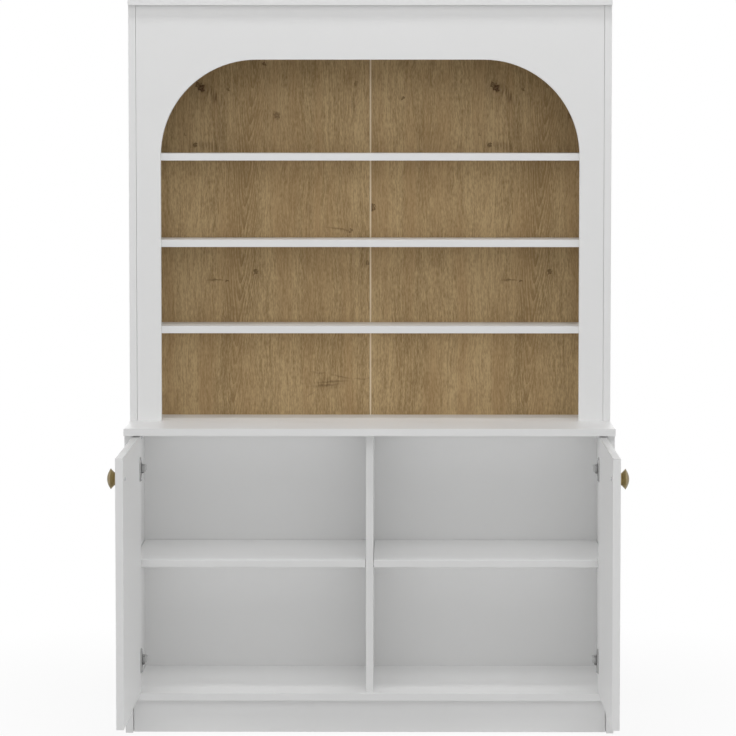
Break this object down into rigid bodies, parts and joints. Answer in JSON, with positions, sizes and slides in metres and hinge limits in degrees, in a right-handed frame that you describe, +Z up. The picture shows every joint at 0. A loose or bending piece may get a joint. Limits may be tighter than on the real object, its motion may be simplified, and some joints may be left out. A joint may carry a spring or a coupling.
{
  "type": "kitchen buffet",
  "caption": "White kitchen buffet: base cabinet with inset slab doors on concealed hinges, worktop, and an open shelved hutch with an arched face frame and oak-effect back.",
  "frame": {"origin": "on the floor, in the middle of the base cabinet's width and depth, on the underside of the centre support", "axes": "+Z up, +Y to the rear (the front faces -Y), +X to the right as seen from the front"},
  "size_m": [1.203, 1.0197, 1.806],
  "materials": {
    "white_board": "white melamine, satin",
    "oak_board": "oak-effect print, satin",
    "beech": "bare",
    "zinc_steel": "zinc plated",
    "hinge_nickel": "nickel plated",
    "knob_brass": "aged brass",
    "strip_plastic": "matt"
  },
  "bodies": {
    "cabinet": {"base_left_side": "white_board", "base_right_side": "white_board", "base_bottom": "white_board", "base_divider": "white_board", "worktop": "white_board", "plinth_front": "white_board", "centre_support": "white_board", "base_shelf_left": "white_board", "base_shelf_right": "white_board", "hutch_left_side": "white_board", "hutch_right_side": "white_board", "hutch_top": "white_board", "arch_frame": "white_board", "hutch_shelf_lower": "white_board", "hutch_shelf_middle": "white_board", "hutch_shelf_upper": "white_board", "base_back_left": "white_board", "base_back_right": "white_board", "hutch_back_left": "oak_board", "hutch_back_right": "oak_board", "base_dowels": "beech", "hutch_dowels": "beech", "base_cam_bolts": "zinc_steel", "base_cam_discs": "zinc_steel", "hutch_cam_bolts": "zinc_steel", "hutch_cam_discs": "zinc_steel", "base_shelf_pins": "zinc_steel", "hutch_shelf_pins": "zinc_steel", "back_nails": "zinc_steel", "wall_bracket_screws": "zinc_steel", "hinge_arm_screws": "zinc_steel", "left_wall_bracket": "zinc_steel", "right_wall_bracket": "zinc_steel", "back_joint_strip": "strip_plastic", "left_hinge_plate_screws": "zinc_steel", "left_upper_hinge_arm": "hinge_nickel", "left_upper_hinge_plate": "hinge_nickel", "left_lower_hinge_arm": "hinge_nickel", "left_lower_hinge_plate": "hinge_nickel", "right_hinge_plate_screws": "zinc_steel", "right_upper_hinge_arm": "hinge_nickel", "right_upper_hinge_plate": "hinge_nickel", "right_lower_hinge_arm": "hinge_nickel", "right_lower_hinge_plate": "hinge_nickel"},
    "left_leaf": {"left_door": "white_board", "left_knob": "knob_brass", "left_knob_screw": "zinc_steel", "left_hinge_cup_screws": "zinc_steel", "left_upper_hinge_cup": "hinge_nickel", "left_upper_hinge_links": "hinge_nickel", "left_lower_hinge_cup": "hinge_nickel", "left_lower_hinge_links": "hinge_nickel"},
    "right_leaf": {"right_door": "white_board", "right_knob": "knob_brass", "right_knob_screw": "zinc_steel", "right_hinge_cup_screws": "zinc_steel", "right_upper_hinge_cup": "hinge_nickel", "right_upper_hinge_links": "hinge_nickel", "right_lower_hinge_cup": "hinge_nickel", "right_lower_hinge_links": "hinge_nickel"}
  },
  "joints": [
    {"name": "left_door_swing", "type": "hinge", "parent": "cabinet", "child": "left_leaf", "pos_m": [-0.5751, -0.2211, 0.419], "axis": [0, 0, 1], "range_deg": [-10, 90]},
    {"name": "right_door_swing", "type": "hinge", "parent": "cabinet", "child": "right_leaf", "pos_m": [0.5751, -0.2211, 0.419], "axis": [0, 0, -1], "range_deg": [-10, 90]}
  ]
}
